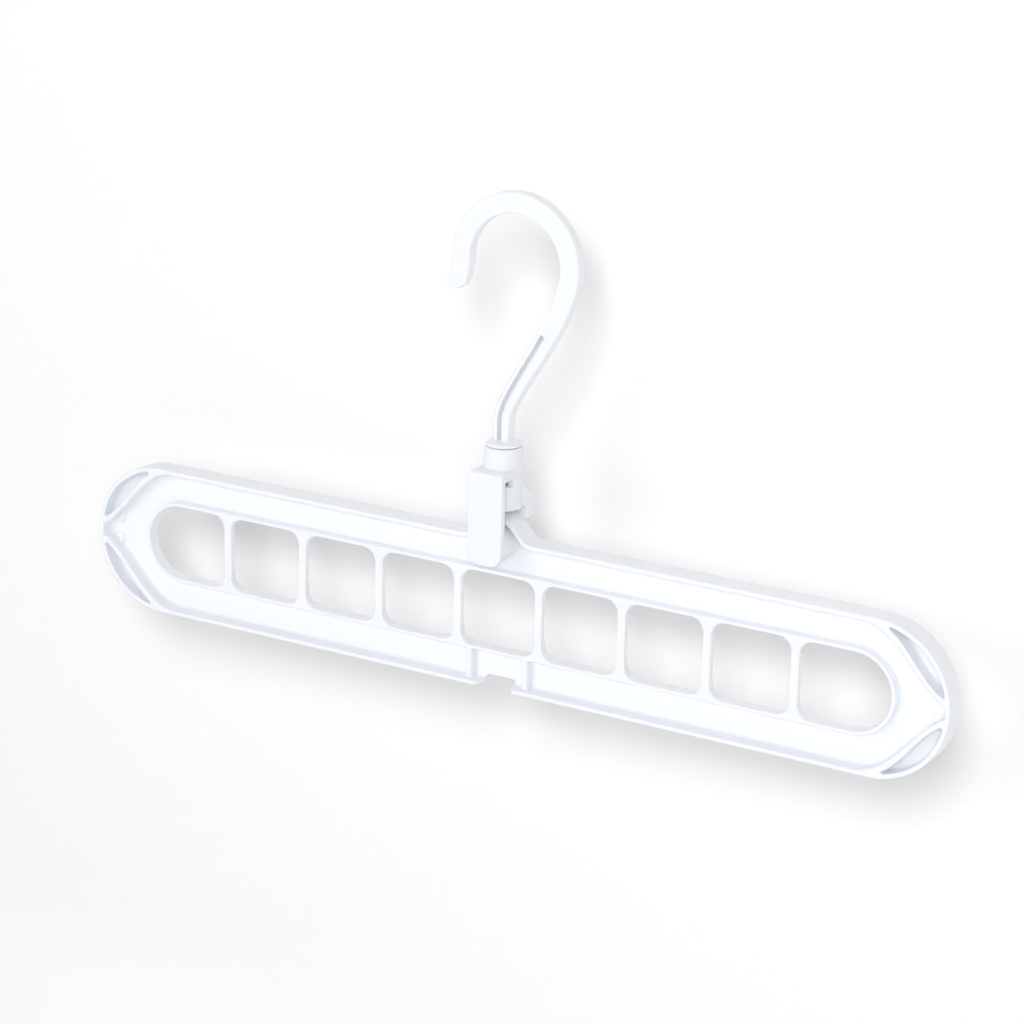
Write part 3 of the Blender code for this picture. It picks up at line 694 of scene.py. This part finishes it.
# %% [markdown]
# ## White polypropylene
#
# The plastic is a slightly cool white with a satin skin. Nothing is printed on it, so what the
# eye reads is the light: a faint ripple where the melt cooled unevenly, the fine grain of the
# spark-eroded mould, and patches where handling has polished it. Some light sinks a millimetre or
# two into the plastic and comes out again, which keeps its shaded sides pale. One flat colour
# would do from afar, but close by it would show neither the mould nor the use, so each of these
# is a faint pattern of its own. The same recipe serves all three mouldings, with its own tone and
# grain for each, because they come from different moulds.

# %% Node helpers
class Wire:
    """A node's output that can be added and multiplied like a number, on either side."""

    def __init__(self, tree, socket):
        self.tree = tree
        self.socket = socket

    def node(self, kind, settings=None, **inputs):
        """New node of a type, its settings first and then the values or wires of its sockets."""
        made = self.tree.nodes.new(kind)
        for key, value in (settings or {}).items():
            setattr(made, key, value)
        for key, value in inputs.items():
            socket = made.inputs[int(key[1:])] if key[1:].isdigit() else made.inputs[key.replace("_", " ")]
            if isinstance(value, Wire):
                self.tree.links.new(value.socket, socket)
            else:
                socket.default_value = value
        return made

    def maths(self, operation, first, second):
        """Wire from a Math node that works on two numbers or wires."""
        made = self.node("ShaderNodeMath", {"operation": operation}, i0=first, i1=second)
        return Wire(self.tree, made.outputs[0])

    def __add__(self, other):
        return self.maths("ADD", self, other)

    __radd__ = __add__

    def __mul__(self, other):
        return self.maths("MULTIPLY", self, other)

    __rmul__ = __mul__


def noise(place, scale, detail, roughness=0.5):
    """Cloudy pattern between 0 and 1 at a place, with this many features in a metre: a sum of
    ever finer waves, each one weaker than the last by the roughness."""
    made = place.node("ShaderNodeTexNoise", Vector=place, Scale=scale, Detail=detail, Roughness=roughness)
    return Wire(place.tree, made.outputs["Fac"])


# %% Moulded white
CLOUDS_PER_METRE = 26.0
SPECKS_PER_METRE = 900.0
PATCHES_PER_METRE = 60.0
RIPPLES_PER_METRE = 140.0
CLOUD_SHARE = 0.8
HANDLING_DULLS = 0.10
GRAIN_DULLS = 0.06
RIPPLE_SHARE = 0.9
RELIEF_STRENGTH = 0.18
RELIEF_HEIGHT = 0.00025
GLOW_SHARE = 0.4
GLOW_DEPTH = 0.0015
PLASTIC_IOR = 1.49


def moulded_white(name, tone, warm_tone, polish, grain_size):
    """White plastic: two close tones in soft clouds, a satin skin, melt ripple and mould grain.
    Each pattern is a cloudy noise times its share, and the shares of a pair add up to one."""
    material = bpy.data.materials.new(name)
    material.use_nodes = True
    tree = material.node_tree
    shader = tree.nodes["Principled BSDF"]
    start = Wire(tree, None)
    place = Wire(tree, start.node("ShaderNodeTexCoord").outputs["Object"])
    cloud = noise(place, CLOUDS_PER_METRE, detail=3.0)
    speck = noise(place, SPECKS_PER_METRE, detail=2.0)
    mix = place.node("ShaderNodeMix", {"data_type": "RGBA"})
    tone_share = cloud * CLOUD_SHARE + speck * (1.0 - CLOUD_SHARE)
    tree.links.new(tone_share.socket, mix.inputs["Factor"])
    mix.inputs["A"].default_value = (*tone, 1.0)
    mix.inputs["B"].default_value = (*warm_tone, 1.0)
    tree.links.new(mix.outputs["Result"], shader.inputs["Base Color"])
    handled = noise(place, PATCHES_PER_METRE, detail=4.0, roughness=0.6)
    grain = noise(place, 1.0 / grain_size, detail=1.0)
    roughness = polish + handled * HANDLING_DULLS + grain * GRAIN_DULLS
    tree.links.new(roughness.socket, shader.inputs["Roughness"])
    ripple = noise(place, RIPPLES_PER_METRE, detail=2.0)
    fine_grain = noise(place, 1.0 / grain_size, detail=2.0)
    height = ripple * RIPPLE_SHARE + fine_grain * (1.0 - RIPPLE_SHARE)
    bump = place.node("ShaderNodeBump", Strength=RELIEF_STRENGTH, Distance=RELIEF_HEIGHT, Height=height)
    tree.links.new(bump.outputs["Normal"], shader.inputs["Normal"])
    shader.inputs["Metallic"].default_value = 0.0
    shader.inputs["Subsurface Weight"].default_value = GLOW_SHARE
    shader.inputs["Subsurface Radius"].default_value = (1.0, 1.0, 1.0)
    shader.inputs["Subsurface Scale"].default_value = GLOW_DEPTH
    shader.inputs["IOR"].default_value = PLASTIC_IOR
    shader.inputs["Specular IOR Level"].default_value = 0.5
    print(name, "has", len(tree.nodes), "nodes")
    return material


finishes = {
    "bar": moulded_white("bar_plastic", (0.905, 0.925, 0.967), (0.891, 0.908, 0.946),
                         polish=0.30, grain_size=0.00035),
    "yoke": moulded_white("yoke_plastic", (0.899, 0.918, 0.962), (0.885, 0.902, 0.941),
                          polish=0.33, grain_size=0.00030),
    "hook": moulded_white("hook_plastic", (0.910, 0.929, 0.969), (0.895, 0.912, 0.949),
                          polish=0.27, grain_size=0.00040),
}

# %% Dress the frame
for node, piece in (("bar", bar_skin), ("yoke", yoke_skin), ("hook", hook_skin)):
    piece.data.materials.append(finishes[node])
    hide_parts(node)
    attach(piece, node)
print("pieces:", [piece.name for piece in (bar_skin, yoke_skin, hook_skin)])

# %% [markdown]
# ## Backdrop, lamps and camera
#
# White plastic on white needs a shadow to stand out. One pale sheet runs from a floor below the
# hanger up a wall just behind it. The hanger is lit by a broad lamp on the left, by a second one
# close to the camera and by a soft fill that is brighter on the left. A third lamp lights the
# sheet alone, and throws the hanger's shadow there, a little down and to the right. One lamp
# could do both, but then the shadow would lie where the shading puts it, and here the two come
# from different sides. Looked at from behind, the sheet is clear, so that the hanger's back can
# be seen as well.

# %% Rays that see
def seen_rays(root):
    """One for a ray that sees its target straight, mirrored or through glass: the sum of the three
    outputs that say so. Soft light gets nought."""
    path = root.node("ShaderNodeLightPath")
    straight, mirrored, through = (
        Wire(root.tree, path.outputs[kind + " Ray"])
        for kind in ("Is Camera", "Is Glossy", "Is Transmission"))
    return straight + mirrored + through


# %% Sweep
WALL_Y = 0.052
FLOOR_Z = -0.450
SWEEP_CORNER = 0.100
SWEEP_REACH_X = 3.0
SWEEP_FRONT = -3.0
SWEEP_TOP = 2.5
bend_centre = (WALL_Y - SWEEP_CORNER, FLOOR_Z + SWEEP_CORNER)
bend = arc_points(bend_centre, SWEEP_CORNER, -math.pi / 2, 0.0, steps=16)
profile = np.concatenate([[(SWEEP_FRONT, FLOOR_Z)], bend, [(WALL_Y, SWEEP_TOP)]])
left = np.column_stack([np.full(len(profile), -SWEEP_REACH_X), profile])
right = np.column_stack([np.full(len(profile), SWEEP_REACH_X), profile])
count = len(profile)
near = np.arange(count - 1)
sweep_faces = np.stack([near, near + count, near + count + 1, near + 1], axis=1)
sweep_mesh = bpy.data.meshes.new("sweep")
sweep_mesh.from_pydata(np.concatenate([left, right]).tolist(), [], sweep_faces.tolist())
sweep_mesh.polygons.foreach_set("use_smooth", np.ones(len(sweep_faces), bool))
sweep = bpy.data.objects.new("sweep", sweep_mesh)
bpy.context.scene.collection.objects.link(sweep)
print("sweep has", len(sweep_faces), "faces")

# %% Paper of the sweep
PAPER_GLOW = 0.112
PAPER_COLOUR = (0.667, 0.660, 0.656, 1.0)
PAPER_ROUGHNESS = 0.9
paper = bpy.data.materials.new("paper")
paper.use_nodes = True
tree = paper.node_tree
shader = tree.nodes["Principled BSDF"]
shader.inputs["Base Color"].default_value = PAPER_COLOUR
shader.inputs["Roughness"].default_value = PAPER_ROUGHNESS
shader.inputs["Specular IOR Level"].default_value = 0.0
root = Wire(tree, None)
glow = seen_rays(root) * PAPER_GLOW
tree.links.new(glow.socket, shader.inputs["Emission Strength"])
shader.inputs["Emission Color"].default_value = (1.0, 1.0, 1.0, 1.0)
clear = root.node("ShaderNodeBsdfTransparent")
behind = Wire(tree, root.node("ShaderNodeNewGeometry").outputs["Backfacing"])
pick = root.node("ShaderNodeMixShader", i0=behind, i1=Wire(tree, shader.outputs["BSDF"]),
                 i2=Wire(tree, clear.outputs["BSDF"]))
tree.links.new(pick.outputs["Shader"], tree.nodes["Material Output"].inputs["Surface"])
sweep_mesh.materials.append(paper)
print("paper has", len(tree.nodes), "nodes")

# %% Camera
VIEW_YAW = math.radians(30.406)
VIEW_PITCH = math.radians(17.958)
VIEW_ROLL = math.radians(-1.2)
CAMERA_PLACE = (0.58110, -0.98336, 0.25799)
LENS = 114.94
SENSOR_WIDTH = 36.0
sin_yaw, cos_yaw = math.sin(VIEW_YAW), math.cos(VIEW_YAW)
sin_pitch, cos_pitch = math.sin(VIEW_PITCH), math.cos(VIEW_PITCH)
forward = np.array([-sin_yaw * cos_pitch, cos_yaw * cos_pitch, -sin_pitch])
level_right = np.array([cos_yaw, sin_yaw, 0.0])
level_down = np.cross(forward, level_right)
view_right = math.cos(VIEW_ROLL) * level_right + math.sin(VIEW_ROLL) * level_down
view_down = math.cos(VIEW_ROLL) * level_down - math.sin(VIEW_ROLL) * level_right
turned = np.eye(4)
turned[:3, :3] = np.column_stack([view_right, -view_down, -forward])
turned[:3, 3] = CAMERA_PLACE
camera_data = bpy.data.cameras.new("camera")
camera_data.sensor_width = SENSOR_WIDTH
camera_data.lens = LENS
camera = bpy.data.objects.new("camera", camera_data)
camera.matrix_world = Matrix(turned.tolist())
bpy.context.scene.collection.objects.link(camera)
bpy.context.scene.camera = camera
print("camera looks from", round(math.degrees(VIEW_YAW), 1), "degrees round and",
      round(math.degrees(VIEW_PITCH), 1), "degrees above")

# %% Lamp sizes
SHADOW_POWER = 28.7
SIDE_POWER = 12.9
FRONT_POWER = 26.4
LAMP_DISTANCE = 2.6
SHADOW_SIZE = 0.76
SIDE_SIZE = 1.20
FRONT_SIZE = 0.90
SIDE_TURN = math.radians(50.0)
FRONT_ASIDE = 0.03
FRONT_ABOVE = 0.04
SHADOW_ASIDE = 0.15
SHADOW_ABOVE = 0.25
FILL_LEFT = (0.765, 0.738, 0.815, 1.0)
FILL_RIGHT = (0.071, 0.068, 0.076, 1.0)
COOL = (0.962, 1.0, 0.979)
hanger_centre = np.array([0.0, 0.0, -0.11])
print("lamps stand", LAMP_DISTANCE, "m back, the side one turned by", round(math.degrees(SIDE_TURN)))


# %% Lamps
def soft_lamp(name, way, size, power, colour=(1.0, 1.0, 1.0)):
    """Round lamp shining along a direction, set back from the hanger by the lamp distance."""
    way = np.array(way) / np.linalg.norm(way)
    data = bpy.data.lights.new(name, "AREA")
    data.shape = "DISK"
    data.size = size
    data.energy = power
    data.color = colour
    lamp = bpy.data.objects.new(name, data)
    side = np.cross(way, (0.0, 0.0, 1.0))
    side /= np.linalg.norm(side)
    facing = np.eye(4)
    facing[:3, :3] = np.column_stack([side, np.cross(side, way), -way])
    facing[:3, 3] = hanger_centre - LAMP_DISTANCE * way
    lamp.matrix_world = Matrix(facing.tolist())
    bpy.context.scene.collection.objects.link(lamp)
    return lamp


from_side = (-math.sin(VIEW_YAW - SIDE_TURN), math.cos(VIEW_YAW - SIDE_TURN), -math.tan(VIEW_PITCH))
from_front = forward + FRONT_ASIDE * view_right + FRONT_ABOVE * view_down
from_above = forward + SHADOW_ASIDE * view_right + SHADOW_ABOVE * view_down
side_lamp = soft_lamp("side", from_side, SIDE_SIZE, SIDE_POWER, COOL)
front_lamp = soft_lamp("front", from_front, FRONT_SIZE, FRONT_POWER, COOL)
shadow_lamp = soft_lamp("shadow", from_above, SHADOW_SIZE, SHADOW_POWER)
paper_only = bpy.data.collections.new("paper_only")
paper_only.objects.link(sweep)
shadow_lamp.light_linking.receiver_collection = paper_only
print("lamps:", [lamp.name for lamp in (side_lamp, front_lamp, shadow_lamp)])

# %% Soft fill
world = bpy.data.worlds.new("studio")
world.use_nodes = True
bpy.context.scene.world = world
background = world.node_tree.nodes["Background"]
background.inputs["Strength"].default_value = 1.0
sky = Wire(world.node_tree, None)
way = sky.node("ShaderNodeTexCoord")
parts = sky.node("ShaderNodeSeparateXYZ", Vector=Wire(world.node_tree, way.outputs["Generated"]))
to_right = Wire(world.node_tree, parts.outputs["X"]) * 0.5 + 0.5
fill = sky.node("ShaderNodeMix", {"data_type": "RGBA"})
world.node_tree.links.new(to_right.socket, fill.inputs["Factor"])
fill.inputs["A"].default_value = FILL_LEFT
fill.inputs["B"].default_value = FILL_RIGHT
plain = sky.node("ShaderNodeMix", {"data_type": "RGBA"})
world.node_tree.links.new(seen_rays(sky).socket, plain.inputs["Factor"])
world.node_tree.links.new(fill.outputs["Result"], plain.inputs["A"])
plain.inputs["B"].default_value = (1.0, 1.0, 1.0, 1.0)
world.node_tree.links.new(plain.outputs["Result"], background.inputs["Color"])
bpy.context.scene.view_settings.view_transform = "Standard"
print("fill from", FILL_LEFT[:3], "on the left to", FILL_RIGHT[:3], "on the right")
